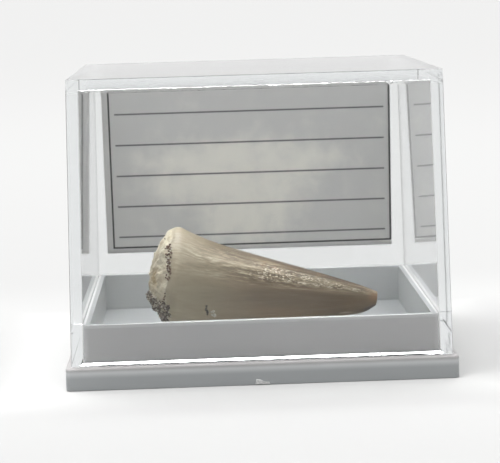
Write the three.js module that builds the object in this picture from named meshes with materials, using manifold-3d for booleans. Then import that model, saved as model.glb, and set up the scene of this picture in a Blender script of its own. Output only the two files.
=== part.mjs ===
// A fossil tooth lying in a small clear display box. The box is a moulded base, which is a plinth
// plate with a raised tray, and a clear cover that stands on the plate around the tray. A printed
// paper label stands in front of the cover's back wall.
// Millimetres. X runs along the front of the box to the right, Y from the front to the back, Z up.
// The origin is under the middle of the base plate.

import * as THREE from "three";
import { mergeVertices } from "three/addons/utils/BufferGeometryUtils.js";
import Module from "manifold-3d";

const wasm = await Module();
wasm.setup();

// the box as a whole
const plateWidth = 56;
const plateDepth = 46.5;
const plateHeight = 3.3;
const boxHeight = 43.9;
const restGap = 0.05; // left under whatever rests on something else

// the cover
const coverMargin = 0.8; // from the plate's edge to the foot of the cover
const coverWall = 1.6;
const draftAngle = 1.3; // degrees that each wall leans in
const coverCorner = 1.0;
const coverEdge = 0.5;

// the tray
const trayGap = 0.2; // from the foot of the cover's wall to the tray
const trayWall = 1.0;
const rimHeight = 9.05;
const rimEdge = 0.35;
const trayCorner = 0.9;
const floorFillet = 0.4;

// the plate's finish
const plateCorner = 0.7;
const plateEdge = 0.55;

// the torn nub where the moulding was broken off its runner, at the middle of the plate's front:
// how far it stands out, how much of that is bevelled, and its outline as places in X and Z
const nubStand = 0.2;
const nubBevel = 0.1;
const nubOutline = [
  [-1.2, 0.15],
  [0.95, 0.15],
  [0.8, 0.42],
  [0.2, 0.48],
  [-0.45, 0.8],
  [-1.0, 0.85],
];

// the label
const labelLeft = -23.85;
const labelRight = 23.45;
const labelFoot = 12.65;
const labelThickness = 0.25;
const labelTopGap = 0.4; // from the label's top to the cover's ceiling

// the tooth, in its own frame: X from the root end to the tip, Z up, Y to the back
const crownLength = 32;
const rootBulge = 3.4; // how far the broken root end stands out behind the crown
const toothTilt = 7.18; // degrees that its axis dips towards the tip
const toothPlace = { x: -13.0, y: 0.5 };
const crownStations = [0, 3.5, 7, 12, 18.3, 26, 30.6, crownLength];
const upperReach = [8.5, 7.15, 6.15, 5.1, 3.9, 2.38, 1.3, 0.85];
const lowerReach = [7.15, 7.55, 7.3, 6.5, 5.3, 3.6, 2.4, 1.4];
const sideReach = [6.5, 6.25, 5.75, 4.9, 3.75, 2.2, 1.25, 0.75];
const sideBend = 0.9; // how far the tip curves to the back
const tipBulge = 0.15; // how far the blunt tip stands out at its middle
const rootFullness = 0.8; // 0.5 would round the root end off as an ellipse

// the tooth's section: ridges that stand out and flats between them, each at an angle from the
// front side upwards, with its spread in degrees and its height as a share of the section's radius
const sectionRelief = [
  { angle: 44, height: 0.035, spread: 8 },
  { angle: 22, height: -0.03, spread: 15 },
  { angle: 67, height: -0.015, spread: 12 },
  { angle: 196, height: 0.03, spread: 8 },
  { angle: 165, height: -0.025, spread: 18 },
  { angle: 228, height: -0.02, spread: 15 },
];
const reliefFade = 4; // the length before the tip over which it dies away

// chips in the broken root end: waves around it, each with its depth, its count, its twist towards
// the middle and its start
const rootChips = [
  { depth: 0.22, count: 5, twist: 0, start: 1.3 },
  { depth: 0.16, count: 9, twist: 5, start: 0 },
  { depth: 0.12, count: 14, twist: -7, start: 0 },
];
const chipReach = 0.5; // how far the chips run on to the crown

// sandy matrix left on the tooth: each patch is a run of lumps between two places on its skin
const matrixPatches = [
  {
    lumps: 15,
    size: 0.78,
    from: { along: -2.9, angle: -31 },
    to: { along: -0.3, angle: -61 },
    scatter: 11,
  },
  {
    lumps: 11,
    size: 0.33,
    from: { along: -0.25, angle: 43 },
    to: { along: -0.7, angle: 6 },
    scatter: 2,
  },
  {
    lumps: 3,
    size: 0.26,
    from: { along: 6.0, angle: -27 },
    to: { along: 6.6, angle: -32 },
    scatter: 2,
  },
];
const goldenAngle = 2.4; // radians, the step that spreads the lumps

// how finely the round shapes are cut into flats
const cornerSteps = 6;
const edgeSteps = 4;
const crownRings = 26;
const tipRings = 3;
const rootRings = 6;
const sectionSteps = 48;

// sizes that follow
const slope = Math.tan(THREE.MathUtils.degToRad(draftAngle));
const coverFoot = plateHeight + restGap;
const coverWidth = plateWidth - 2 * coverMargin;
const coverDepth = plateDepth - 2 * coverMargin;
const ceiling = boxHeight - coverWall;
const trayWidth = coverWidth - 2 * (coverWall + trayGap);
const trayDepth = coverDepth - 2 * (coverWall + trayGap);

const colours = {
  base: new THREE.MeshStandardMaterial({ color: 0xa9aaa9, roughness: 0.45 }),
  cover: new THREE.MeshStandardMaterial({
    color: 0xeef2f3,
    roughness: 0.05,
    transparent: true,
    opacity: 0.25,
  }),
  label: new THREE.MeshStandardMaterial({ color: 0xd6d6d2, roughness: 0.9 }),
  tooth: new THREE.MeshStandardMaterial({ color: 0xa3947b, roughness: 0.5 }),
};

function solidFrom(geometry) {
  const bare = geometry.clone();
  bare.deleteAttribute("normal");
  bare.deleteAttribute("uv");
  const merged = mergeVertices(bare, 1e-4);
  return new wasm.Manifold(
    new wasm.Mesh({
      numProp: 3,
      vertProperties: new Float32Array(merged.attributes.position.array),
      triVerts: new Uint32Array(merged.index.array),
    }),
  );
}

function geometryFrom(solid) {
  const mesh = solid.getMesh();
  const geometry = new THREE.BufferGeometry();
  geometry.setAttribute(
    "position",
    new THREE.BufferAttribute(mesh.vertProperties, mesh.numProp),
  );
  geometry.setIndex(new THREE.BufferAttribute(mesh.triVerts, 1));
  geometry.computeVertexNormals();
  return geometry;
}

function roundedRectangle(width, depth, radius) {
  const x = width / 2 - radius;
  const y = depth / 2 - radius;
  const quarter = Math.PI / 2;
  const outline = new THREE.Shape();
  outline.absarc(x, y, radius, 0, quarter);
  outline.absarc(-x, y, radius, quarter, 2 * quarter);
  outline.absarc(-x, -y, radius, 2 * quarter, 3 * quarter);
  outline.absarc(x, -y, radius, 3 * quarter, 4 * quarter);
  return outline;
}

// A block with round corners, whose top and bottom edges are rounded too.
function roundedBlock({ width, depth, low, high, corner, edge }) {
  const block = new THREE.ExtrudeGeometry(
    roundedRectangle(width, depth, corner),
    {
      depth: high - low - 2 * edge,
      bevelThickness: edge,
      bevelSize: edge,
      bevelOffset: -edge,
      bevelSegments: edgeSteps,
      curveSegments: cornerSteps,
    },
  );
  return block.translate(0, 0, low + edge);
}

// Leans the four walls in by the draft, measured from the foot of the cover.
function leanWalls(geometry) {
  const places = geometry.attributes.position;
  for (let i = 0; i < places.count; i++) {
    const inward = slope * (places.getZ(i) - coverFoot);
    places.setX(i, places.getX(i) - Math.sign(places.getX(i)) * inward);
    places.setY(i, places.getY(i) - Math.sign(places.getY(i)) * inward);
  }
  return geometry;
}

function boxBetween(low, high) {
  const size = high.map((value, axis) => value - low[axis]);
  const middle = high.map((value, axis) => (value + low[axis]) / 2);
  return new THREE.BoxGeometry(...size).translate(...middle);
}

function makeBase() {
  const plate = roundedBlock({
    width: plateWidth,
    depth: plateDepth,
    low: -plateHeight,
    high: plateHeight,
    corner: plateCorner,
    edge: plateEdge,
  });
  const underPlate = boxBetween(
    [-plateWidth, -plateDepth, -2 * plateHeight],
    [plateWidth, plateDepth, 0],
  );
  const trayBlock = roundedBlock({
    width: trayWidth,
    depth: trayDepth,
    low: plateHeight / 2,
    high: rimHeight,
    corner: trayCorner,
    edge: rimEdge,
  });
  const trayHollow = roundedBlock({
    width: trayWidth - 2 * trayWall,
    depth: trayDepth - 2 * trayWall,
    low: plateHeight,
    high: 2 * rimHeight,
    corner: trayCorner,
    edge: floorFillet,
  });
  return solidFrom(plate)
    .subtract(solidFrom(underPlate))
    .add(solidFrom(trayBlock))
    .subtract(solidFrom(trayHollow))
    .add(solidFrom(gateNub()));
}

// The nub runs back into the plate by as much as it stands out.
function gateNub() {
  const corners = nubOutline.map(([x, z]) => new THREE.Vector2(x, z));
  const nub = new THREE.ExtrudeGeometry(new THREE.Shape(corners), {
    depth: 2 * nubStand - nubBevel,
    bevelThickness: nubBevel,
    bevelSize: nubBevel,
    bevelOffset: -nubBevel,
    bevelSegments: 1,
  });
  nub.rotateX(Math.PI / 2);
  return nub.translate(0, nubStand - plateDepth / 2, 0);
}

function makeCover() {
  const shell = roundedBlock({
    width: coverWidth,
    depth: coverDepth,
    low: coverFoot - 2 * coverEdge,
    high: boxHeight,
    corner: coverCorner,
    edge: coverEdge,
  });
  const underFoot = boxBetween(
    [-plateWidth, -plateDepth, -plateHeight],
    [plateWidth, plateDepth, coverFoot],
  );
  const hollow = roundedBlock({
    width: coverWidth - 2 * coverWall,
    depth: coverDepth - 2 * coverWall,
    low: -plateHeight,
    high: ceiling,
    corner: coverEdge,
    edge: coverEdge / 2,
  });
  return solidFrom(leanWalls(shell))
    .subtract(solidFrom(underFoot))
    .subtract(solidFrom(leanWalls(hollow)));
}

// A flat sheet that leans back with the wall behind it.
function makeLabel() {
  const wallFoot = coverDepth / 2 - coverWall;
  const sheet = boxBetween(
    [labelLeft, wallFoot - restGap - labelThickness, labelFoot],
    [labelRight, wallFoot - restGap, ceiling - labelTopGap],
  );
  const places = sheet.attributes.position;
  for (let i = 0; i < places.count; i++) {
    const inward = slope * (places.getZ(i) - coverFoot);
    places.setY(i, places.getY(i) - inward);
  }
  return solidFrom(sheet);
}

const reaches = [upperReach, lowerReach, sideReach].map(
  (values) => new THREE.CubicInterpolant(crownStations, values, 1),
);

// Where the tooth's skin is: a share of the section's radius, an angle from the front side
// upwards and a distance from the root end of the crown.
function toothPoint(share, angle, along) {
  const station = THREE.MathUtils.clamp(along, 0, crownLength);
  const [upper, lower, side] = reaches.map(
    (reach) => reach.evaluate(station)[0],
  );
  const degrees = THREE.MathUtils.euclideanModulo(
    THREE.MathUtils.radToDeg(angle),
    360,
  );
  const fade = THREE.MathUtils.smoothstep(
    crownLength - along,
    0,
    reliefFade,
  );
  let relief = 0;
  for (const part of sectionRelief) {
    const away = Math.abs(degrees - part.angle);
    const turn = Math.min(away, 360 - away) / part.spread;
    relief += part.height * Math.exp(-turn * turn);
  }
  const reach = share * (1 + relief * fade);
  const rise = Math.sin(angle);
  return new THREE.Vector3(
    along,
    -Math.cos(angle) * side * reach + sideBend * (station / crownLength) ** 2,
    rise * (rise > 0 ? upper : lower) * reach,
  );
}

// How far along the tooth the root end lies, at a share of the section's radius.
function rootEnd(share) {
  return -rootBulge * (1 - share * share) ** rootFullness;
}

// How far a place on the broken root end is chipped in or stands out.
function chipping(angle, share) {
  let depth = 0;
  for (const chip of rootChips)
    depth +=
      chip.depth * Math.sin(chip.count * angle + chip.twist * share + chip.start);
  return depth;
}

// The crown and root are a lathe of unit radius, whose rings are then drawn out to the section.
function makeCrown() {
  const profile = [];
  for (let i = 0; i < rootRings; i++) {
    const share = Math.sin((i / rootRings) * (Math.PI / 2));
    profile.push(new THREE.Vector2(share, rootEnd(share)));
  }
  for (let i = 0; i <= crownRings; i++)
    profile.push(new THREE.Vector2(1, (i / crownRings) * crownLength));
  for (let i = tipRings - 1; i >= 0; i--) {
    const turn = (i / tipRings) * (Math.PI / 2);
    const along = crownLength + tipBulge * Math.cos(turn);
    profile.push(new THREE.Vector2(Math.sin(turn), along));
  }
  const crown = new THREE.LatheGeometry(profile, sectionSteps);
  const places = crown.attributes.position;
  for (let i = 0; i < places.count; i++) {
    const across = places.getX(i);
    const upward = places.getZ(i);
    const along = places.getY(i);
    const share = Math.hypot(across, upward);
    const angle = Math.atan2(upward, across);
    const point = toothPoint(share, angle, along);
    const nearRoot = THREE.MathUtils.smoothstep(
      -along,
      -chipReach,
      2 * chipReach,
    );
    point.x += nearRoot * share * chipping(angle, share);
    places.setXYZ(i, ...point);
  }
  return solidFrom(crown);
}

// Lumps of matrix, spread over each patch by steps of the golden angle, and each turned its own way.
function matrixLumps() {
  const lumps = [];
  for (const patch of matrixPatches)
    for (let i = 0; i < patch.lumps; i++) {
      const way = (i + 0.5) / patch.lumps;
      const spread = Math.sin(goldenAngle * i) * patch.scatter;
      const along = THREE.MathUtils.lerp(patch.from.along, patch.to.along, way);
      const degrees =
        THREE.MathUtils.lerp(patch.from.angle, patch.to.angle, way) + spread;
      const inside = Math.max(-along / rootBulge, 0) ** (1 / rootFullness);
      const share = Math.sqrt(1 - inside);
      const angle = THREE.MathUtils.degToRad(degrees);
      const radius = patch.size * (1 + 0.3 * Math.cos(2 * goldenAngle * i));
      const lump = new THREE.IcosahedronGeometry(radius, 1);
      lump.rotateZ(i).rotateX(2 * i);
      lump.translate(...toothPoint(share, angle, along));
      lumps.push(solidFrom(lump));
    }
  return lumps;
}

function makeTooth() {
  return matrixLumps().reduce((tooth, lump) => tooth.add(lump), makeCrown());
}

function part(name, solid) {
  const mesh = new THREE.Mesh(geometryFrom(solid), colours[name]);
  mesh.name = name;
  return mesh;
}

const tooth = part("tooth", makeTooth());
tooth.rotation.y = THREE.MathUtils.degToRad(toothTilt);
tooth.position.set(toothPlace.x, toothPlace.y, 0);
const lowest = new THREE.Box3().setFromObject(tooth, true).min.z;
tooth.position.z = plateHeight + restGap - lowest;

const displayBox = new THREE.Group();
displayBox.add(part("base", makeBase()));
displayBox.add(part("cover", makeCover()));
displayBox.add(part("label", makeLabel()));
displayBox.add(tooth);

export default displayBox;
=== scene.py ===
import math
import random

import bmesh
import bpy
from mathutils import Euler, Matrix, Vector, noise


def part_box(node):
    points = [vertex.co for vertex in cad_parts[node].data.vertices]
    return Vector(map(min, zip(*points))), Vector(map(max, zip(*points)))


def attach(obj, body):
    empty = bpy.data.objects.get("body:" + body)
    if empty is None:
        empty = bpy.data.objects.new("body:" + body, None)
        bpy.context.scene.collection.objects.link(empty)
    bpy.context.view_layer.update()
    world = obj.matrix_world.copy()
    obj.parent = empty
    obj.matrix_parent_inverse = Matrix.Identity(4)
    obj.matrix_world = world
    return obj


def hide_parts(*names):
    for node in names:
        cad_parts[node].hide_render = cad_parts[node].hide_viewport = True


# A fossil tooth in a small clear box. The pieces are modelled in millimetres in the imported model's
# frame, X to the right, Y to the back and Z up, and brought to metres when each one is finished.
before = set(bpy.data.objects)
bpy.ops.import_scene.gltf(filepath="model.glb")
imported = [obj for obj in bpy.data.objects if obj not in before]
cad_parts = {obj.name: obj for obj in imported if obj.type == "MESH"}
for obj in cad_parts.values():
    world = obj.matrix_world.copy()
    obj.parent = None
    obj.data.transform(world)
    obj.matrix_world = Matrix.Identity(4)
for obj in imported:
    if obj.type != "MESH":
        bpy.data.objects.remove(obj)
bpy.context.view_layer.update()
mm = 0.001


def boxOf(node):
    low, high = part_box(node)
    return Vector(low) / mm, Vector(high) / mm


def smoothStep(value, low, high):
    share = min(max((value - low) / (high - low), 0), 1)
    return share * share * (3 - 2 * share)


def flatBlend(share, first, last):
    return first + (last - first) * share


def feed(tree, inputs, sockets):
    # sets the inputs of a node, each to a plain value or from a wire
    for name, value in sockets.items():
        if isinstance(value, Wire):
            tree.links.new(value.socket, inputs[name])
        else:
            inputs[name].default_value = value


class Wire:
    # a socket of a node tree: sums on wires add Math nodes, node() adds any other kind
    def __init__(self, tree, socket=None):
        self.tree = tree
        self.socket = socket

    def node(self, kind, settings=None, sockets=None, out=0):
        made = self.tree.nodes.new("ShaderNode" + kind)
        for name, value in (settings or {}).items():
            if name == "stops":
                ramp = made.color_ramp
                while len(ramp.elements) < len(value):
                    ramp.elements.new(0.5)
                for stop, (place, colour) in zip(ramp.elements, value):
                    stop.position = place
                    stop.color = colour
            else:
                setattr(made, name, value)
        feed(self.tree, made.inputs, sockets or {})
        return Wire(self.tree, made.outputs[out])

    def maths(self, operation, *others):
        return self.node("Math", {"operation": operation}, dict(enumerate((self, *others))))

    def __add__(self, other):
        return self.maths("ADD", other)

    def __sub__(self, other):
        return self.maths("SUBTRACT", other)

    def __rsub__(self, other):
        return self.maths("MULTIPLY_ADD", -1.0, other)

    def __mul__(self, other):
        return self.maths("MULTIPLY", other)

    def __truediv__(self, other):
        return self.maths("DIVIDE", other)

    def __rtruediv__(self, other):
        return self.maths("POWER", -1.0) * other

    __radd__ = __add__
    __rmul__ = __mul__

    def ramp(self, low, high):
        # 0 below low and 1 above high, also where low is the higher one
        sockets = {0: self, 1: low, 2: high, 3: 0.0, 4: 1.0}
        return self.node("MapRange", {"interpolation_type": "SMOOTHSTEP"}, sockets)

    def band(self, low, high, soft):
        return self.ramp(low - soft, low + soft) * self.ramp(high + soft, high - soft)

    def near(self, middle, reach):
        return (self - middle).maths("ABSOLUTE").ramp(reach, 0.0)

    def tint(self, below, above, blend="MIX"):
        # this wire is the factor between two colours
        settings = {"data_type": "RGBA", "blend_type": blend}
        return self.node("Mix", settings, {0: self, 6: below, 7: above}, out=2)

    def multiply(self, below, by):
        # a colour, and where this wire is 1 what it is multiplied by
        return self.tint(below, by, "MULTIPLY")

    def stretch(self, x, y, z):
        sockets = {0: self, 1: (x, y, z)}
        return self.node("VectorMath", {"operation": "MULTIPLY"}, sockets)

    def moved(self, x, y, z):
        sockets = {0: self, 1: (x, y, z)}
        return self.node("VectorMath", {"operation": "ADD"}, sockets)

    def away(self, x, y, z):
        # how far each point is from a place
        sockets = {0: self, 1: (x, y, z)}
        return self.node("VectorMath", {"operation": "DISTANCE"}, sockets, out="Value")

    def axes(self):
        return [self.node("SeparateXYZ", sockets={0: self}, out=axis) for axis in "XYZ"]

    def noise(self, scale, detail=3.0, rough=0.5):
        sockets = {"Vector": self, "Scale": scale, "Detail": detail, "Roughness": rough}
        return self.node("TexNoise", sockets=sockets)

    def cells(self, scale, out="Distance"):
        return self.node("TexVoronoi", sockets={"Vector": self, "Scale": scale}, out=out)

    def bump(self, height, distance):
        return self.node("Bump", sockets={"Height": height, "Distance": distance * mm})


def grey(level):
    return (level, level, level, 1)


def newMaterial(name):
    # the material, a bare wire to add nodes with, and the object's own place in millimetres
    material = bpy.data.materials.new(name)
    material.use_nodes = True
    start = Wire(material.node_tree)
    place = start.node("TexCoord", out="Object").stretch(1 / mm, 1 / mm, 1 / mm)
    return material, start, place


def finishMaterial(material, sockets):
    shader = material.node_tree.nodes["Principled BSDF"]
    feed(material.node_tree, shader.inputs, sockets)
    return material


def addObject(name, data):
    made = bpy.data.objects.new(name, data)
    bpy.context.scene.collection.objects.link(made)
    return made


def finishPiece(name, mesh, material, node):
    bmesh.ops.remove_doubles(mesh, verts=mesh.verts, dist=0.001)
    mesh.normal_update()
    bmesh.ops.recalc_face_normals(mesh, faces=mesh.faces)
    bmesh.ops.transform(mesh, matrix=Matrix.Scale(mm, 4), verts=mesh.verts)
    for face in mesh.faces:
        face.smooth = True
    data = bpy.data.meshes.new(name)
    mesh.to_mesh(data)
    mesh.free()
    data.materials.append(material)
    piece = addObject(name, data)
    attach(piece, "root")
    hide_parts(node)
    print(name, "has", len(data.polygons), "faces")
    return piece


def keepFlats(piece):
    # large flat faces keep their own normal beside the rounded edges
    flats = piece.modifiers.new("flats", "WEIGHTED_NORMAL")
    flats.weight = 100
    flats.keep_sharp = True


def blockBetween(mesh, low, high):
    middle = (low + high) / 2
    size = high - low
    block = Matrix.Translation(middle) @ Matrix.Diagonal((*size, 1))
    bmesh.ops.create_cube(mesh, size=1, matrix=block)


def pushFaces(mesh, faces, shift, keep=False):
    made = bmesh.ops.extrude_face_region(mesh, geom=faces)["geom"]
    corners = [part for part in made if isinstance(part, bmesh.types.BMVert)]
    bmesh.ops.translate(mesh, verts=corners, vec=shift)
    if not keep:
        bmesh.ops.delete(mesh, geom=faces, context="FACES_ONLY")
    return [part for part in made if isinstance(part, bmesh.types.BMFace)]


def roundEdges(mesh, edges, radius, segments):
    bmesh.ops.bevel(
        mesh,
        geom=edges,
        offset=radius,
        offset_type="OFFSET",
        segments=segments,
        profile=0.5,
        affect="EDGES",
        material=-1,
        clamp_overlap=True,
    )


def uprightEdges(mesh, reach):
    # the corner edges that run upwards at this distance from the middle in X
    found = []
    for edge in mesh.edges:
        first, last = (corner.co for corner in edge.verts)
        upright = abs(first.z - last.z) > 0.7 * edge.calc_length()
        if upright and abs(abs(first.x + last.x) / 2 - reach) < 0.4:
            found.append(edge)
    return found


def levelEdges(mesh, height, low, high):
    # the edges at one height where a level face meets a wall, whose reach in X is in a range
    found = []
    for edge in mesh.edges:
        first, last = (corner.co for corner in edge.verts)
        level = abs(first.z - height) < 0.01 and abs(last.z - height) < 0.01
        if level and low < edgeReach(first, last) < high and edge.calc_face_angle(0) > 0.6:
            found.append(edge)
    return found


def edgeReach(first, last):
    # how far out an edge lies, as a place in X of the rectangle that it is on
    middle = (first + last) / 2
    return max(abs(middle.x), abs(middle.y) + boxSides)


# The grey base: a plinth plate with a tray on it, one moulding.
base = {
    "plateHeight": 3.3,
    "trayInset": 2.6,  # from the plate's edge to the tray's wall
    "trayWall": 1.0,
    # the radii of its corners and edges
    "plateCorner": 0.7,
    "plateEdge": 0.7,
    "plateFoot": 0.15,
    "trayCorner": 0.9,
    "rimEdge": 0.48,
    "rimInner": 0.22,
    "floorFillet": 0.4,
    "footFillet": 0.12,
}
baseHigh = boxOf("base")[1]
boxSides = baseHigh.x - baseHigh.y  # how much further the box reaches in X than in Y


def makeBase():
    plate = base["plateHeight"]
    outer = baseHigh.x
    tray = outer - base["trayInset"]
    inner = tray - base["trayWall"]
    mesh = bmesh.new()
    blockBetween(mesh, Vector((-outer, -baseHigh.y, 0)), Vector((outer, baseHigh.y, plate)))
    top = [face for face in mesh.faces if face.normal.z > 0.9]
    bmesh.ops.inset_region(mesh, faces=top, thickness=base["trayInset"], use_even_offset=True)
    top = pushFaces(mesh, top, (0, 0, baseHigh.z - plate))
    bmesh.ops.inset_region(mesh, faces=top, thickness=base["trayWall"], use_even_offset=True)
    pushFaces(mesh, top, (0, 0, plate - baseHigh.z))
    mesh.normal_update()
    for reach, corner in ((outer, "plateCorner"), (tray, "trayCorner"), (inner, "trayCorner")):
        roundEdges(mesh, uprightEdges(mesh, reach), base[corner], 8)
    loops = (
        (baseHigh.z, tray, "rimEdge", 5),
        (baseHigh.z, inner, "rimInner", 4),
        (plate, inner, "floorFillet", 5),
        (plate, tray, "footFillet", 3),
        (plate, outer, "plateEdge", 6),
        (0, outer, "plateFoot", 3),
    )
    for height, reach, radius, segments in loops:
        mesh.normal_update()
        loop = levelEdges(mesh, height, reach - 0.45, reach + 0.2)
        roundEdges(mesh, loop, base[radius], segments)
    piece = finishPiece("mouldedBase", mesh, greyPlastic(), "base")
    keepFlats(piece)


def greyPlastic():
    finish = {
        "colour": (0.515, 0.53, 0.535, 1),
        "scuffed": (0.60, 0.61, 0.61, 1),
        "paintedLitSidesTone": (0.78, 0.77, 0.77, 1),  # painted light on the tray's outer sides, which the cover fits over
        "paintedLedgeShade": (0.30, 0.29, 0.29, 1),  # painted shade on the plate's ledge outside the cover
        "inner": (0.62, 0.63, 0.63, 1),  # painted light on the tray's inner sides
        "bare": grey(0.92),  # painted highlight on the tray's rim, and painted light where the cover's foot stands
        "paintedFloorShade": (0.74, 0.745, 0.75, 1),  # painted shade: what the right of the tray's floor is multiplied by
        "low": (0.65, 0.66, 0.665, 1),  # and, as painted shade, the plate's side below its edge
        "roughness": 0.31,
    }
    material, start, place = newMaterial("greyPlastic")
    x, y, z = place.axes()
    # slow shifts of tone, and the fine grain of the mould
    cloud = place.noise(0.05, 2.0)
    grain = place.noise(3.5, 2.0)
    # straight hairline scuffs in two directions, broken into short runs
    scuffs = place.stretch(0.25, 9.0, 1.0).noise(1.0, 2.0).ramp(0.70, 0.78)
    crossed = place.stretch(7.0, 0.3, 1.0).noise(1.0, 2.0).ramp(0.72, 0.80)
    runs = place.noise(0.4, 2.0).ramp(0.45, 0.6)
    worn = scuffs.maths("MAXIMUM", crossed) * runs
    # ring marks that the mould's pins left on the tray's floor
    ringed = place.away(-17.6, -14.2, 3.3)
    rings = ringed.near(1.6, 0.12).maths("MAXIMUM", ringed.near(0.8, 0.1))
    tone = (cloud * 0.10 + 0.95).tint(grey(0), finish["colour"])
    colour = (worn * 0.45).tint(tone, finish["scuffed"])
    # painted light and shade on parts of the moulding, by their place
    plate = base["plateHeight"]
    tray = baseHigh.x - base["trayInset"] - 0.3
    besides = x.maths("ABSOLUTE").maths("MAXIMUM", y.maths("ABSOLUTE") + boxSides)
    # painted light: the tray's outer sides are paler
    paintedLitSides = besides.ramp(tray - 0.15, tray) * z.ramp(plate + 0.1, plate + 0.9)
    colour = (paintedLitSides * (cloud * 0.4 + 0.75)).tint(colour, finish["paintedLitSidesTone"])
    # painted highlight on the rim's outer rounding, and painted light on the plate under the cover's
    # foot
    rim = besides.ramp(tray - 0.1, tray + 0.1) * z.ramp(baseHigh.z - 0.6, baseHigh.z - 0.35)
    rimTop = z.ramp(baseHigh.z - 0.4, baseHigh.z - 0.1)
    paintedFootLight = besides.band(tray + 0.4, coverHigh.x - 0.05, 0.1) * z.near(plate, 0.15)
    colour = (rim.maths("MAXIMUM", paintedFootLight) * 0.95).tint(colour, finish["bare"])
    # painted light: the tray's inner sides are paler
    inside = besides.ramp(tray - 0.6, tray - 0.8)
    colour = (inside * z.ramp(plate + 0.1, plate + 0.6)).tint(colour, finish["inner"])
    # painted shade on the right of the tray's floor, fading up its walls
    paintedFloorShade = x.ramp(6.0, 21.0) * inside * z.ramp(baseHigh.z - 0.2, plate - 0.2)
    colour = (paintedFloorShade * 0.9).multiply(colour, finish["paintedFloorShade"])
    # painted shade on the plate's ledge outside the cover, and darker down its side
    outside = besides.ramp(coverHigh.x - 0.1, coverHigh.x + 0.05)
    colour = (outside * z.ramp(plate - 0.8, plate - 0.1)).tint(colour, finish["paintedLedgeShade"])
    colour = (outside * z.ramp(plate - 0.7, plate - 1.6)).multiply(colour, finish["low"])
    height = grain * 0.5 + worn * -0.6 - rings
    return finishMaterial(
        material,
        {
            "Base Color": colour,
            "Roughness": cloud * 0.10 + worn * 0.15 + rimTop * 0.25 + finish["roughness"],
            "IOR": 1.5,
            "Normal": start.bump(height, 0.012),
        },
    )


# The nub where the base was torn off its runner, at the middle of the plate's front.
tornNub = {
    "outline": [(-1.2, 0.15), (0.95, 0.15), (0.8, 0.42), (0.2, 0.48), (-0.45, 0.8), (-1.0, 0.85)],
    "stand": 0.2,  # how far it stands out of the plate, and how deep it starts inside
    "sunk": 0.2,
    "ragged": 0.05,
}


def makeNub():
    mesh = bmesh.new()
    front = -baseHigh.y
    corners = [mesh.verts.new((x, front + tornNub["sunk"], z)) for x, z in tornNub["outline"]]
    back = mesh.faces.new(corners)
    bmesh.ops.recalc_face_normals(mesh, faces=[back])
    forward = (0, -tornNub["sunk"] - tornNub["stand"], 0)
    face = pushFaces(mesh, [back], forward, keep=True)
    bmesh.ops.recalc_face_normals(mesh, faces=mesh.faces)
    bmesh.ops.inset_region(mesh, faces=face, thickness=0.1, depth=0.0, use_even_offset=True)
    rim = [edge for edge in mesh.edges if abs(edge.verts[0].co.y - edge.verts[1].co.y) < 0.01]
    bmesh.ops.subdivide_edges(mesh, edges=rim, cuts=5, use_grid_fill=True)
    for corner in mesh.verts:
        if corner.co.y < front - 0.1:
            ragged = noise.noise(corner.co * 4) * tornNub["ragged"]
            tall = 0.10 * smoothStep(corner.co.z, 0.2, 0.8)
            corner.co.y = max(corner.co.y + 0.08 + ragged - tall, front - tornNub["stand"])
    finishPiece("tornNub", mesh, paleTear(), "base")


def paleTear():
    finish = {"dark": (0.52, 0.53, 0.53, 1), "pale": (0.70, 0.70, 0.69, 1)}
    material, start, place = newMaterial("paleTear")
    blotch = place.noise(3.0, 3.0)
    return finishMaterial(
        material,
        {
            "Base Color": blotch.ramp(0.35, 0.65).tint(finish["dark"], finish["pale"]),
            "Roughness": 0.62,
            "Normal": start.bump(blotch, 0.05),
        },
    )


# The clear cover: five walls that lean in by the draft of the mould, open below.
cover = {
    "wall": 1.6,
    "draft": 1.3,  # degrees
    # the radii of its corners and edges
    "corner": 0.12,
    "topEdge": 0.08,
    "innerCorner": 0.12,
    "innerEdge": 0.34,
    "footEdge": 0.05,
    "leadIn": 0.29,  # how deep and how high the chamfer inside the foot is
    "leadInHeight": 0.251,
}
coverLow, coverHigh = boxOf("cover")
coverLean = math.tan(math.radians(cover["draft"]))


def leanIn(corners, foot):
    for corner in corners:
        inward = coverLean * (corner.co.z - foot)
        corner.co.x -= math.copysign(inward, corner.co.x)
        corner.co.y -= math.copysign(inward, corner.co.y)


def makeCover():
    foot = coverLow.z
    ceiling = coverHigh.z - cover["wall"]
    mesh = bmesh.new()
    blockBetween(mesh, coverLow, coverHigh)
    under = [face for face in mesh.faces if face.normal.z < -0.9]
    bmesh.ops.inset_region(mesh, faces=under, thickness=cover["wall"], use_even_offset=True)
    pushFaces(mesh, under, (0, 0, ceiling - foot))
    leanIn(mesh.verts, foot)
    mesh.normal_update()
    inside = coverHigh.x - cover["wall"]
    roundEdges(mesh, levelEdges(mesh, foot, inside - 0.5, inside + 0.3), cover["leadIn"], 1)
    for corner in mesh.verts:
        if 0.1 < corner.co.z - foot < 0.9:
            corner.co.z = foot + cover["leadInHeight"]
    mesh.normal_update()
    middle = coverHigh.x - coverLean * (coverHigh.z - foot) / 2
    roundEdges(mesh, uprightEdges(mesh, middle), cover["corner"], 3)
    roundEdges(mesh, uprightEdges(mesh, middle - cover["wall"]), cover["innerCorner"], 3)
    topReach = coverHigh.x - coverLean * (coverHigh.z - foot)
    loops = (
        (coverHigh.z, topReach, "topEdge", 2),
        (ceiling, topReach - cover["wall"], "innerEdge", 1),
        (foot, coverHigh.x, "footEdge", 2),
    )
    for height, reach, radius, segments in loops:
        mesh.normal_update()
        loop = levelEdges(mesh, height, reach - 0.5, reach + 0.3)
        roundEdges(mesh, loop, cover[radius], segments)
    mesh.normal_update()
    for face in mesh.faces:  # the foot's chamfer stays flat, and mirrors the light in the wall
        height = face.calc_center_median().z - foot
        if 0.1 < height < cover["leadInHeight"] and face.normal.z < -0.3:
            for edge in face.edges:
                edge.smooth = False
    piece = finishPiece("clearCover", mesh, clearPlastic(), "cover")
    keepFlats(piece)


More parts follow.
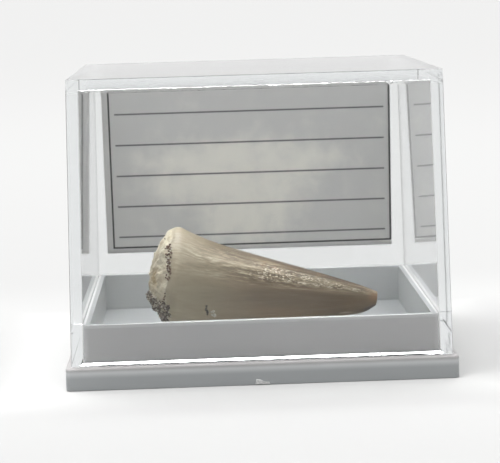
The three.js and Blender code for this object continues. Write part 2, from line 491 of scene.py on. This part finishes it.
def clearPlastic():
    finish = {
        "colour": (0.93, 0.937, 0.937, 1),
        "ior": 1.59,
        "sheen": grey(0.35),  # how much of its mirroring it keeps where looked at straight
        "roughness": 0.03,
        "deepTint": (0.752, 0.795, 0.81, 1),  # the colour that light takes on a long way through
        "density": 8,
    }
    material, start, place = newMaterial("clearPlastic")
    z = place.axes()[2]
    # uneven moulding along the ceiling's edges and the foot
    atCeiling = z.near(coverHigh.z - cover["wall"] - 0.1, 0.35)
    atFoot = z.ramp(coverLow.z + 0.75, coverLow.z + 0.5)
    wavy = place.stretch(1, 3, 3).noise(1.3, 2.0) * atCeiling * 2.5
    height = wavy + place.stretch(1, 1, 2).noise(1.1, 3.0) * atFoot * 0.3
    sockets = {"Color": finish["deepTint"], "Density": finish["density"]}
    depth = start.node("VolumeAbsorption", sockets=sockets)
    end = material.node_tree.nodes["Material Output"]
    feed(material.node_tree, end.inputs, {"Volume": depth})
    return finishMaterial(
        material,
        {
            "Base Color": finish["colour"],
            "Transmission Weight": 1.0,
            "IOR": finish["ior"],
            "Specular Tint": finish["sheen"],
            "Roughness": finish["roughness"],
            "Normal": start.bump(height, 0.02),
        },
    )


# The paper label in front of the back wall. Its lettering isn't kept: it is ruled for writing on.
label = {
    "thickness": 0.25,
    "bow": 0.03,
    # where its border and ruled lines are, in the box's own place, and how wide they are
    "borderLeft": -22.73,
    "borderRight": 23.26,
    "borderFoot": 13.53,
    "borderTop": 40.1,
    "borderLine": 0.28,
    "firstRule": 15.3,
    "ruleStep": 5.1,
    "ruleMargin": 0.9,
    "ruleLine": 0.2,
    "soft": 0.04,  # how blurred the edges of the print are
}
labelLow, labelHigh = boxOf("label")


def makeLabel():
    width = (labelHigh.x - labelLow.x) / 2
    height = (labelHigh.z - labelLow.z) / 2
    middle = (labelLow + labelHigh) / 2
    mesh = bmesh.new()
    upright = Matrix.Rotation(math.radians(90), 4, "X")
    sheet = Matrix.Translation(middle) @ upright @ Matrix.Diagonal((width, height, 1, 1))
    bmesh.ops.create_grid(mesh, x_segments=72, y_segments=46, size=1, matrix=sheet)
    wall = coverHigh.y - cover["wall"] - 0.05
    for corner in mesh.verts:
        wave = noise.noise(Vector((corner.co.x * 0.09, 0, corner.co.z * 0.12)))
        back = wall - coverLean * (corner.co.z - coverLow.z)
        corner.co.y = back - label["bow"] * (0.6 + 0.4 * wave)
    bmesh.ops.recalc_face_normals(mesh, faces=mesh.faces)
    bmesh.ops.solidify(mesh, geom=mesh.faces[:], thickness=label["thickness"])
    bmesh.ops.recalc_face_normals(mesh, faces=mesh.faces)
    front = min(corner.co.y for corner in mesh.verts)
    bmesh.ops.translate(mesh, verts=mesh.verts, vec=(0, max(labelLow.y - front, 0), 0))
    piece = finishPiece("paperLabel", mesh, labelPaper(), "label")
    creases = piece.modifiers.new("edges", "WEIGHTED_NORMAL")
    creases.keep_sharp = True


def labelPaper():
    finish = {
        "paper": (0.635, 0.63, 0.62, 1),
        "pale": (0.86, 0.84, 0.775, 1),
        "ink": (0.035, 0.035, 0.033, 1),
        "rule": (0.10, 0.10, 0.105, 1),
        # pale clouds: their middles in X and Z, and how far they reach
        "clouds": [(-1.0, 27.3, 17.5, 4.2), (-3.5, 23.5, 15.0, 4.0), (-0.5, 19.0, 9.0, 5.5)],
    }
    material, start, place = newMaterial("labelPaper")
    x, _, z = place.axes()
    # paler clouds on the sheet
    flat = place.stretch(1, 0, 1)
    mottle = flat.noise(0.26, 5.0, 0.6)
    clouds = 0.0
    for across, upward, wide, tall in finish["clouds"]:
        apart = flat.stretch(1 / wide, 1, 1 / tall).away(across / wide, 0, upward / tall)
        clouds = apart.ramp(1.45, 0.35).maths("MAXIMUM", clouds)
    cloud = (clouds * 0.8 + (mottle - 0.5) * 1.4).ramp(-0.05, 0.95)
    fibre = flat.noise(9.0, 3.0)
    tone = cloud.tint(finish["paper"], finish["pale"])
    tone = (fibre.ramp(0.3, 0.8) * 0.10).tint(tone, grey(0.55))
    # the printed border and the ruled lines inside it
    half = label["borderLine"] / 2
    border = printedPatch(x, z, half) - printedPatch(x, z, -half)
    step = label["ruleStep"]
    thin = label["ruleLine"] / step
    share = ((z - label["firstRule"]) / step + 0.5).maths("FRACT")
    lines = (share - 0.5).maths("ABSOLUTE").ramp(thin, 0.3 * thin)
    margin = label["ruleMargin"]
    ruledX = x.band(label["borderLeft"] + margin, label["borderRight"] - margin, label["soft"])
    ruledZ = z.band(label["firstRule"] - 0.5, label["borderTop"] - 1.0, 0.1)
    rules = lines * ruledX * ruledZ
    patchy = place.noise(6.0, 2.0).ramp(0.2, 0.5)
    printed = (rules * (patchy * 0.25 + 0.7)).tint(tone, finish["rule"])
    printed = (border * (patchy * 0.15 + 0.85)).tint(printed, finish["ink"])
    front = place.node("NewGeometry", out="Normal").axes()[1].ramp(-0.2, -0.8)
    return finishMaterial(
        material,
        {
            "Base Color": front.tint(tone, printed),
            "Roughness": 0.62,
            "Specular IOR Level": 0.35,
            "Normal": start.bump(fibre, 0.02),
        },
    )


def printedPatch(x, z, outward):
    # all that lies within the border's rectangle, made larger on every side
    across = x.band(label["borderLeft"] - outward, label["borderRight"] + outward, label["soft"])
    upward = z.band(label["borderFoot"] - outward, label["borderTop"] + outward, label["soft"])
    return across * upward


# The tooth, in its own frame: X from the root end to the tip, Z up, Y to the back.
tooth = {
    "length": 32,
    "rootBulge": 3.4,  # how far the broken root end stands out behind the crown
    "rootFullness": 0.8,  # 0.5 would round it off as an ellipse
    "tipBulge": 0.15,
    "tilt": 7.18,  # degrees that its axis dips towards the tip
    "place": (-13.0, 0.5),
    "bend": 0.9,  # how far the tip curves to the back
    # places along the crown, and how far its section reaches at each
    "stations": [0, 3.5, 7, 12, 18.3, 26, 30.6, 32],
    "upper": [8.5, 7.15, 6.15, 5.1, 3.9, 2.38, 1.3, 0.85],
    "lower": [7.15, 7.55, 7.3, 6.5, 5.3, 3.6, 2.4, 1.4],
    "side": [6.5, 6.25, 5.75, 4.9, 3.75, 2.2, 1.25, 0.75],
    # ridges and flats of its section: angle from the front upwards, height, spread
    "relief": [
        (41, 0.035, 8),
        (19, -0.03, 15),
        (67, -0.015, 12),
        (196, 0.03, 8),
        (165, -0.025, 18),
        (228, -0.02, 15),
        (7, 0.018, 8),
        (-12, -0.006, 14),
    ],
    "reliefStart": (1, 10),  # where along the crown they begin and are complete
    "belly": 0.08,  # before them its front is this much fuller, up to these angles
    "bellyTop": (8, 46),
    "edgeRound": 0.35,  # how much the root end's rim is rounded off
    # how far that reaches along the crown, and inwards as a share of the radius
    "roundReach": (1.1, 0.16),
    "lineHeights": (0.015, 0.05),  # of the lines along the crown, and what its upper front adds
    # chips round the root end: depth, count, twist towards the middle, start
    "chips": [(0.22, 5, 0, 1.3), (0.16, 9, 5, 0), (0.12, 14, -7, 0)],
    # the root's rough surface: height and fineness of each noise, from broad scallops to pits
    "rough": [(0.26, 0.8), (0.19, 1.7), (0.11, 3.6), (0.05, 7.0)],
    "rootSunk": 0.05,  # how far it lies under the enamel
    "rootReach": (6.5, 7.5),  # the root's half width and half height, about
    "skinRadius": 6,  # of the tube that the material's pattern lies on
    "skinShares": (0.17, 0.03),  # how much of the mesh's rings the root end and the tip take up
    "around": 320,  # corners around the skin, and rings along it
    "lengthwise": 260,
}
toothLow = boxOf("tooth")[0]


def smoothThrough(values, place):
    # a smooth curve through the stations, its slope at each the mean of its neighbours'
    stations = tooth["stations"]
    last = len(stations) - 1
    slopes = [
        (values[i + 1] - values[i]) / (stations[i + 1] - stations[i]) for i in range(last)
    ]
    tangents = [slopes[0]]
    tangents += [(slopes[i - 1] + slopes[i]) / 2 for i in range(1, last)]
    tangents.append(slopes[-1])
    i = 0
    while i < last - 1 and place > stations[i + 1]:
        i += 1
    gap = stations[i + 1] - stations[i]
    share = (place - stations[i]) / gap
    squared = share * share
    cubed = squared * share
    return (
        (2 * cubed - 3 * squared + 1) * values[i]
        + (cubed - 2 * squared + share) * gap * tangents[i]
        + (3 * squared - 2 * cubed) * values[i + 1]
        + (cubed - squared) * gap * tangents[i + 1]
    )


def sectionAt(along):
    place = min(max(along, 0), tooth["length"])
    return [smoothThrough(tooth[reach], place) for reach in ("upper", "lower", "side")]


def reliefAt(angle, along):
    # what the ridges and flats add to the section's radius at an angle
    degrees = math.degrees(angle)
    swell = 0.0
    for middle, height, spread in tooth["relief"]:
        apart = (degrees - middle + 180) % 360 - 180
        swell += height * math.exp(-((apart / spread) ** 2))
    front = (1 - smoothStep(degrees, *tooth["bellyTop"])) * smoothStep(degrees, -85, -35)
    front *= smoothStep(along, -1.5, 0.5)
    return flatBlend(smoothStep(along, *tooth["reliefStart"]), tooth["belly"] * front, swell)


def toothPoint(section, share, angle, along, relief, proud=0.0):
    # proud is a height in mm on top of the section's own radius
    upper, lower, side = section
    fade = smoothStep(tooth["length"] - along, 0, 4)
    reach = share * (1 + relief * fade)
    place = min(max(along / tooth["length"], 0), 1)
    upward = math.sin(angle)
    tall = upper if upward > 0 else lower
    return Vector(
        (
            along,
            -math.cos(angle) * (side * reach + proud) + tooth["bend"] * place * place,
            upward * (tall * reach + proud),
        )
    )


def skinWalk(step):
    # the share of the radius and the place along, from the middle of the root end to the tip
    rootPart, tipPart = tooth["skinShares"]
    if step < rootPart:
        share = math.sin(step / rootPart * math.pi / 2)
        return share, -tooth["rootBulge"] * (1 - share * share) ** tooth["rootFullness"]
    if step < 1 - tipPart:
        return 1.0, (step - rootPart) / (1 - rootPart - tipPart) * tooth["length"]
    turn = (1 - step) / tipPart * math.pi / 2
    return math.sin(turn), tooth["length"] + tooth["tipBulge"] * math.cos(turn)


def lineRelief(angle, along):
    # fine ridges that run the length of the crown, strongest on its upper front
    if along <= 1:
        return 0
    degrees = math.degrees(angle)
    turn = Vector((math.cos(angle) * 7, math.sin(angle) * 7, along * 0.06))
    fine = noise.noise(turn * 1.3) + 0.7 * noise.noise(turn * 2.4 + Vector((5, 1, 0)))
    upper = math.exp(-(((degrees - 42) / 24) ** 2))
    rise = smoothStep(along, 1.0, 11.0) * smoothStep(tooth["length"] - along, 0.3, 3.0)
    plain, more = tooth["lineHeights"]
    return fine * (plain + more * upper) * rise


def crumble(angle, along, share):
    # the worn, scalloped surface of the root and the step at the enamel's edge
    if along > 0.5:
        return 0
    wide, tall = tooth["rootReach"]
    place = Vector((along, math.cos(angle) * wide * share, math.sin(angle) * tall * share))
    edge = -0.65 + 0.3 * noise.noise(place * 0.5) + 0.15 * noise.noise(place * 1.7)
    root = smoothStep(edge - along, -0.1, 0.25)
    rough = sum(height * noise.noise(place * fine) for height, fine in tooth["rough"])
    return root * (rough - tooth["rootSunk"])


def rimRound(along, share):
    # what rounds off the corner between the crown and the broken end
    reach, inward = tooth["roundReach"]
    near = 1 - along / reach if along >= 0 else 1 - (1 - share) / inward
    return tooth["edgeRound"] * max(near, 0) ** 2


def surfacePoint(section, share, angle, along):
    worn = crumble(angle, along, share)
    proud = lineRelief(angle, along) + worn * share - rimRound(along, share)
    point = toothPoint(section, share, angle, along, reliefAt(angle, along), proud)
    point.x -= worn * math.sqrt(1 - share * share) * 1.2
    nearRoot = smoothStep(-along, -0.5, 1.0) * share
    for depth, count, twist, start in tooth["chips"]:
        point.x += nearRoot * depth * math.sin(count * angle + twist * share + start)
    return point


def makeTooth():
    mesh = bmesh.new()
    around = tooth["around"]
    rings = tooth["lengthwise"]
    bmesh.ops.create_uvsphere(mesh, u_segments=around, v_segments=rings, radius=1)
    skin = mesh.verts.layers.float_vector.new("skin")
    radius = tooth["skinRadius"]
    walks = [skinWalk(ring / rings) for ring in range(rings + 1)]
    sections = [sectionAt(along) for share, along in walks]
    for corner in mesh.verts:
        ring = round(math.acos(min(max(corner.co.z, -1), 1)) / math.pi * rings)
        angle = math.atan2(corner.co.y, corner.co.x)
        share, along = walks[ring]
        corner.co = surfacePoint(sections[ring], share, angle, along)
        spoke = Vector((0, -math.cos(angle), math.sin(angle))) * radius * share
        corner[skin] = spoke + Vector((along, 0, 0))
    bmesh.ops.transform(mesh, matrix=layDown(), verts=mesh.verts)
    lowest = min(corner.co.z for corner in mesh.verts)
    bmesh.ops.translate(mesh, verts=mesh.verts, vec=(0, 0, toothLow.z - lowest))
    finishPiece("fossilTooth", mesh, fossilEnamel(), "tooth")
    return toothLow.z - lowest


def layDown():
    x, y = tooth["place"]
    return Matrix.Translation((x, y, 0)) @ Matrix.Rotation(math.radians(tooth["tilt"]), 4, "Y")


def fossilEnamel():
    finish = {
        # the crown's colour from the enamel's edge to the tip
        "crown": [
            (0.0, (0.40, 0.342, 0.244, 1)),
            (0.16, (0.322, 0.270, 0.186, 1)),
            (0.26, (0.28, 0.224, 0.152, 1)),
            (0.44, (0.212, 0.153, 0.093, 1)),
            (0.80, (0.158, 0.106, 0.056, 1)),
            (1.0, (0.198, 0.137, 0.080, 1)),
        ],
        "tipEnd": (0.42, 0.23, 0.12, 1),
        # a painted highlight: the colour of the worn band's glints
        "glint": (0.95, 0.86, 0.68, 1),
        "rust": (0.36, 0.19, 0.10, 1),
        "root": (0.70, 0.64, 0.50, 1),
        "rootStain": (0.48, 0.36, 0.20, 1),
        "worn": (0.62, 0.545, 0.395, 1),
        "deep": (0.15, 0.115, 0.075, 1),
        # what parts of it are multiplied by
        "underside": grey(1.5),
        "shady": (0.80, 0.765, 0.73, 1),
        "shadiest": (0.66, 0.61, 0.55, 1),
        "frontBelow": (0.97, 0.93, 0.84, 1),
        "paintedTipShade": grey(0.25),
        "rootBelow": (0.70, 0.68, 0.64, 1),
    }
    material, start, place = newMaterial("fossilEnamel")
    skin = start.node("Attribute", {"attribute_name": "skin"}, out="Vector")
    # along the tooth in mm, and the angle from its front side upwards in degrees
    along, front, up = skin.axes()
    angle = up.maths("ARCTAN2", front * -1.0) * (180 / math.pi)
    share = along / tooth["length"]
    tone = share.node("ValToRGB", {"stops": finish["crown"]}, {0: share})
    # the top is darker from a little way on, and the underside is painted paler, as painted light
    # from below
    tone = (angle.ramp(46.0, 62.0) * along.ramp(1.5, 9.0) * 0.42).tint(tone, finish["deep"])
    tone = (angle.ramp(-8.0, -42.0) * along.ramp(32.0, 8.0)).multiply(tone, finish["underside"])
    # streaks and lines that run its length, pale on the upper front: partly the enamel's wear,
    # partly painted highlight where they catch the light
    broad = skin.stretch(0.06, 0.45, 0.45).noise(1.0, 3.0, 0.55)
    streaks = skin.stretch(0.14, 1.7, 1.7).noise(1.0, 4.0, 0.6)
    lines = skin.stretch(0.55, 3.8, 3.8).noise(1.0, 3.0, 0.6)
    tone = (broad.ramp(0.40, 0.66) * 0.22).tint(tone, finish["deep"])
    upper = angle.band(18.0, 72.0, 12.0) * (along.ramp(0.0, 11.0) * 0.7 + 0.3)
    # painted highlight: pale lines along the ridge near the root
    paintedCrestHighlight = angle.band(36.0, 48.0, 6.0) * along.band(1.5, 13.0, 3.0)
    fibrous = skin.stretch(0.25, 0.8, 0.8).noise(1.0, 2.0).ramp(0.36, 0.58)
    tone = (streaks.ramp(0.48, 0.66) * (upper * 0.30 + 0.06)).tint(tone, finish["worn"])
    tone = (lines.ramp(0.50, 0.36) * (upper * 0.50 + 0.12)).tint(tone, finish["deep"])
    tone = (lines.ramp(0.52, 0.62) * upper * (fibrous * 0.7 + 0.1)).tint(tone, finish["worn"])
    tone = (lines.ramp(0.47, 0.60) * paintedCrestHighlight * 0.45).tint(tone, finish["worn"])
    # darker towards the top and where the worn band starts
    shadyPlaces = (
        angle.ramp(43.0, 55.0) * along.band(3.5, 29.0, 2.5),
        angle.band(24.0, 44.0, 7.0) * along.band(12.5, 24.0, 3.0),
        angle.band(15.0, 28.0, 5.0) * along.band(9.5, 16.0, 2.0),
        angle.band(22.0, 64.0, 8.0) * along.band(13.5, 22.0, 3.0),
    )
    for shadyPlace in shadyPlaces:
        tone = shadyPlace.multiply(tone, finish["shady"])
    tone = (angle.ramp(38.0, 50.0) * along.band(17.0, 31.5, 2.5)).multiply(tone, finish["shadiest"])
    tone = (angle.ramp(12.0, -8.0) * along.ramp(19.0, 28.0)).multiply(tone, finish["frontBelow"])
    # the worn band along the upper front, worn down to pale grain, with painted glints for its
    # highlights
    narrowing = along.ramp(22.0, 31.0)
    lower = (angle - narrowing * 4.0 - 25.0).ramp(-4.0, 5.0)
    higher = (angle + narrowing * 22.0 - 60.0).ramp(5.0, -6.0)
    ridge = lower * higher * along.ramp(10.0, 15.0) * along.ramp(31.5, 30.0)
    grain = skin.stretch(2.5, 5.2, 5.2).noise(1.0, 2.0, 0.6)
    clumps = skin.stretch(0.7, 1.5, 1.5).noise(1.0, 2.0).ramp(0.34, 0.52)
    glints = ridge * clumps * grain.ramp(0.54, 0.61)
    tone = (ridge * grain.ramp(0.40, 0.60) * 0.30).tint(tone, finish["worn"])
    tone = (ridge * grain.ramp(0.44, 0.30) * 0.55).tint(tone, finish["deep"])
    rusty = skin.moved(7, 3, 1).stretch(0.5, 1.2, 1.2).noise(1.0, 3.0).ramp(0.60, 0.72)
    rusty = rusty * angle.band(35.0, 78.0, 8.0) * along.ramp(8.0, 13.0)
    tone = (rusty * 0.5).tint(tone, finish["rust"])
    tone = (glints * 0.95).tint(tone, finish["glint"])
    # the amber end of the tip, painted shade below it, and a pale chip under it
    end = along.ramp(30.0, 31.8) * angle.band(-14.0, 38.0, 14.0)
    tone = (end * 0.50).tint(tone, finish["tipEnd"])
    below = along.ramp(28.0, 31.2) * angle.ramp(-38.0, -50.0)
    tone = (below * 0.85).multiply(tone, finish["paintedTipShade"])
    chipped = lines * 1.2 + skin.stretch(0.62, 1, 1).away(17.0, -3.5, -4.8) * 0.8
    tone = (chipped.ramp(1.30, 0.70) * 0.5).tint(tone, finish["worn"])
    # the root, up to a wandering edge
    wander = place.noise(0.5, 2.0) * 0.7 + place.noise(1.7, 2.0) * 0.3
    isRoot = (along + (wander - 0.5) * -0.9).ramp(-0.55, -0.95)
    pores = place.noise(4.5, 3.0, 0.65)
    stain = place.noise(0.45, 2.0).ramp(0.48, 0.66) * 0.35
    ochre = skin.away(-2.8, -2.8, 0.3).ramp(2.0, 0.4)
    rootTone = (stain + ochre * 0.7).tint(finish["root"], finish["rootStain"])
    rootTone = (pores.ramp(0.42, 0.25) * 0.5).tint(rootTone, finish["rootStain"])
    rootTone = angle.ramp(5.0, -35.0).multiply(rootTone, finish["rootBelow"])
    tone = isRoot.tint(tone, rootTone)
    height = (lines * 0.8 + streaks * 0.3) * (upper * 0.8 + 0.2) + ridge * grain
    height = height * (1 - isRoot) + pores * isRoot * 2.6
    return finishMaterial(
        material,
        {
            "Base Color": tone,
            "Roughness": isRoot * 0.35 + streaks * 0.12 + 0.32,
            "IOR": 1.5,
            "Normal": start.bump(height, 0.05),
        },
    )


# Sandy matrix left on the tooth: each patch is a run of lumps between two places on the skin.
matrix = {
    "patches": [
        # lumps, lump radius, along from and to, angle from and to, scatter along and in angle,
        # grains on each lump, its own shade, and the darkest and palest of its grains
        (9, 0.76, (-3.05, -2.6), (-62, -50), (0.1, 5), 14, 0.46, (0.05, 0.74)),
        (64, 0.40, (-3.0, 0.1), (-53, -43), (0.22, 20), 13, 0.46, (0.05, 0.74)),
        (52, 0.13, (-0.50, -0.85), (49, 8), (0.40, 2), 3, 0.97, (0.85, 1.0)),
        (14, 0.13, (-0.50, -0.85), (45, 12), (0.40, 2), 2, 0.66, (0.6, 0.7)),
        (7, 0.18, (5.5, 6.0), (-19, -31), (0.15, 1), 3, 0.05, (0.0, 0.2)),
        (7, 0.24, (6.5, 6.9), (-25, -34), (0.3, 2), 3, 0.68, (0.6, 0.72)),
        (7, 0.12, (-0.8, -1.1), (-8, -24), (0.1, 2), 1, 0.95, (0.9, 1.0)),
        (3, 0.13, (-1.7, -2.6), (84, 66), (0.2, 6), 2, 0.1, (0.0, 0.3)),
    ],
    "grain": (0.08, 0.16),  # radii of the smallest and the largest grain
}


def addLump(mesh, centre, radius, shade, layer, rng, rounds=1):
    turn = Euler([rng.uniform(0, 6.3) for _ in range(3)]).to_matrix().to_4x4()
    squash = Matrix.Diagonal([rng.uniform(0.75, 1.15) for _ in range(3)] + [1])
    spot = Matrix.Translation(centre) @ turn @ squash
    made = bmesh.ops.create_icosphere(mesh, subdivisions=rounds, radius=radius, matrix=spot)
    for corner in made["verts"]:
        corner.co += (corner.co - centre) * rng.uniform(-0.12, 0.12)
        corner[layer] = shade


def makeMatrix(lift):
    rng = random.Random(7)
    mesh = bmesh.new()
    layer = mesh.verts.layers.float.new("grainShade")
    lay = Matrix.Translation((0, 0, lift)) @ layDown()
    small, large = matrix["grain"]
    for lumps, size, alongs, angles, scatter, grains, shade, shades in matrix["patches"]:
        for i in range(lumps):
            way = (i + 0.5) / lumps
            along = flatBlend(way, *alongs) + rng.uniform(-1, 1) * scatter[0]
            angle = math.radians(flatBlend(way, *angles) + rng.uniform(-1, 1) * scatter[1])
            inside = min(max(-along / tooth["rootBulge"], 0), 1) ** (1 / tooth["rootFullness"])
            share = math.sqrt(1 - inside)
            centre = surfacePoint(sectionAt(along), share, angle, along)
            radius = size * rng.uniform(0.7, 1.25)
            addLump(mesh, centre, radius * 0.9, shade, layer, rng, 2)
            for _ in range(grains):
                way = Vector([rng.gauss(0, 1) for _ in range(3)]).normalized()
                spot = centre + way * radius * rng.uniform(0.82, 0.98)
                addLump(mesh, spot, rng.uniform(small, large), rng.uniform(*shades), layer, rng, 1)
    bmesh.ops.transform(mesh, matrix=lay, verts=mesh.verts)
    bmesh.ops.recalc_face_normals(mesh, faces=mesh.faces)
    finishPiece("matrixGrains", mesh, sandyMatrix(), "tooth")


def sandyMatrix():
    finish = {
        # the grains' colours by their shade, rusty from 0.85 on
        "grains": [
            (0.0, (0.06, 0.048, 0.038, 1)),
            (0.35, (0.15, 0.12, 0.095, 1)),
            (0.55, (0.30, 0.26, 0.21, 1)),
            (0.7, (0.62, 0.57, 0.48, 1)),
            (0.85, (0.17, 0.09, 0.055, 1)),
            (1.0, (0.11, 0.062, 0.042, 1)),
        ],
        "specks": (0.06, 0.045, 0.035, 1),
        "crust": 0.46,  # the shade of the lumps that are covered in fine grains
        "crustScale": 3.8,
        "roughness": 0.7,
    }
    material, start, place = newMaterial("sandyMatrix")
    shade = start.node("Attribute", {"attribute_name": "grainShade"}, out="Fac")
    # each small cell of the lumps' crust is a grain of its own tone
    grains = place.cells(finish["crustScale"], "Color").axes()[0]
    dome = place.cells(finish["crustScale"])
    crust = shade.near(finish["crust"], 0.08)
    shade = shade + (grains - finish["crust"]) * crust * 0.8
    tone = shade.node("ValToRGB", {"stops": finish["grains"]}, {0: shade})
    specks = place.noise(7.0, 3.0, 0.6)
    return finishMaterial(
        material,
        {
            "Base Color": (specks.ramp(0.45, 0.7) * 0.2).tint(tone, finish["specks"]),
            "Roughness": finish["roughness"],
            "Normal": start.bump(specks * 0.5 - dome, 0.09),
        },
    )


# The floor, the light and the camera.
stage = {
    "floorReach": 40000,
    "floorLevel": 0.93,  # how bright the floor looks
    "floorTone": (1.0, 1.0, 0.995, 1),
    "floorLift": 0.10,  # how much paler it is near the box, which shades it, and next to it
    "floorLiftBeside": 0.30,
    "ambient": 1.60,  # the light it gets from the surroundings, and from the lamp right above
    "lampShare": 1.85,
    "front": 0.38,  # how bright the surroundings are on the camera's side, and behind the box
    "back": 0.93,
    "belowFar": 0.25,  # what gloss shows below the horizon, far off and close by
    "belowNear": 0.9,
    "overhead": 4.2,  # the soft light overhead: how bright, which way and how wide
    "overheadWay": (0.0, 0.05, 1.0),
    "overheadSpread": (0.74, 0.97),  # cosines of its outer and inner edge
    "lampPlace": (-70, 10, 420),
    "lampSize": 260,
    "lampPower": 3.6,  # watts
}
camera = {
    "place": (-7.615, -253.307, 57.115),
    "turn": (81.342, 1.652, -1.822),  # degrees
    "lens": 119.73,
    "sensor": 36,
}


def makeStage():
    mesh = bmesh.new()
    bmesh.ops.create_circle(mesh, cap_ends=True, segments=96, radius=stage["floorReach"] * mm)
    data = bpy.data.meshes.new("paleFloor")
    mesh.to_mesh(data)
    mesh.free()
    material, _, place = newMaterial("paleFloor")
    # the floor is less pale where the lamp is near, so that it looks even
    lampX, lampY, lampHeight = stage["lampPlace"]
    away = place.away(lampX, lampY, 0) / lampHeight
    spread = away * away + 1
    light = stage["lampShare"] / (spread * spread) + stage["ambient"]
    x, y, _ = place.axes()
    apart = (x.maths("ABSOLUTE") - baseHigh.x).maths("MAXIMUM", y.maths("ABSOLUTE") - baseHigh.y)
    near = apart.ramp(45.0, 0.0) * stage["floorLift"]
    beside = apart.ramp(14.0, 0.0) * stage["floorLiftBeside"]
    level = stage["floorLevel"] / light * (near + beside + 1)
    colour = level.tint(grey(0), stage["floorTone"])
    finishMaterial(material, {"Base Color": colour, "Roughness": 1.0, "Specular IOR Level": 0.0})
    data.materials.append(material)
    floor = addObject("paleFloor", data)
    floor.visible_glossy = False  # the clear cover would show too much of it


def makeLight():
    # a soft overhead light from slightly behind, and surroundings that are paler behind the box
    world = bpy.data.worlds.new("softStudio")
    world.use_nodes = True
    bpy.context.scene.world = world
    start = Wire(world.node_tree)
    way = start.node("TexCoord", out="Generated")
    towards = Vector(stage["overheadWay"]).normalized()
    sockets = {0: way, 1: tuple(towards)}
    facing = start.node("VectorMath", {"operation": "DOT_PRODUCT"}, sockets, out="Value")
    lobe = facing.ramp(*stage["overheadSpread"])
    _, back, up = way.axes()
    behind = back.ramp(-0.7, 0.75)
    strength = behind * (stage["back"] - stage["front"]) + stage["front"]
    strength = strength + lobe * (stage["overhead"] - stage["back"])
    below = up.ramp(-0.05, -0.17) * (stage["belowNear"] - stage["belowFar"]) + stage["belowFar"]
    strength = strength + up.ramp(0.0, -0.02) * (below - strength)
    backdrop = world.node_tree.nodes["Background"]
    feed(world.node_tree, backdrop.inputs, {"Color": grey(1), "Strength": strength})
    # a lamp close above lights the box more than the floor further away, and isn't mirrored
    data = bpy.data.lights.new("lampAbove", "AREA")
    data.shape = "SQUARE"
    data.size = stage["lampSize"] * mm
    data.energy = stage["lampPower"]
    lamp = addObject("lampAbove", data)
    lamp.location = Vector(stage["lampPlace"]) * mm
    lamp.visible_glossy = False


def makeCamera():
    data = bpy.data.cameras.new("camera")
    data.lens = camera["lens"]
    data.sensor_width = camera["sensor"]
    data.sensor_fit = "HORIZONTAL"
    data.clip_end = 100
    view = addObject("camera", data)
    view.location = Vector(camera["place"]) * mm
    view.rotation_euler = [math.radians(turn) for turn in camera["turn"]]
    bpy.context.scene.camera = view


bpy.context.scene.view_settings.view_transform = "Standard"
bpy.context.scene.view_settings.look = "None"
makeCamera()
makeLight()
makeStage()
print("stage ready")
makeBase()
makeNub()
makeCover()
makeLabel()
makeMatrix(makeTooth())
print("pieces ready")
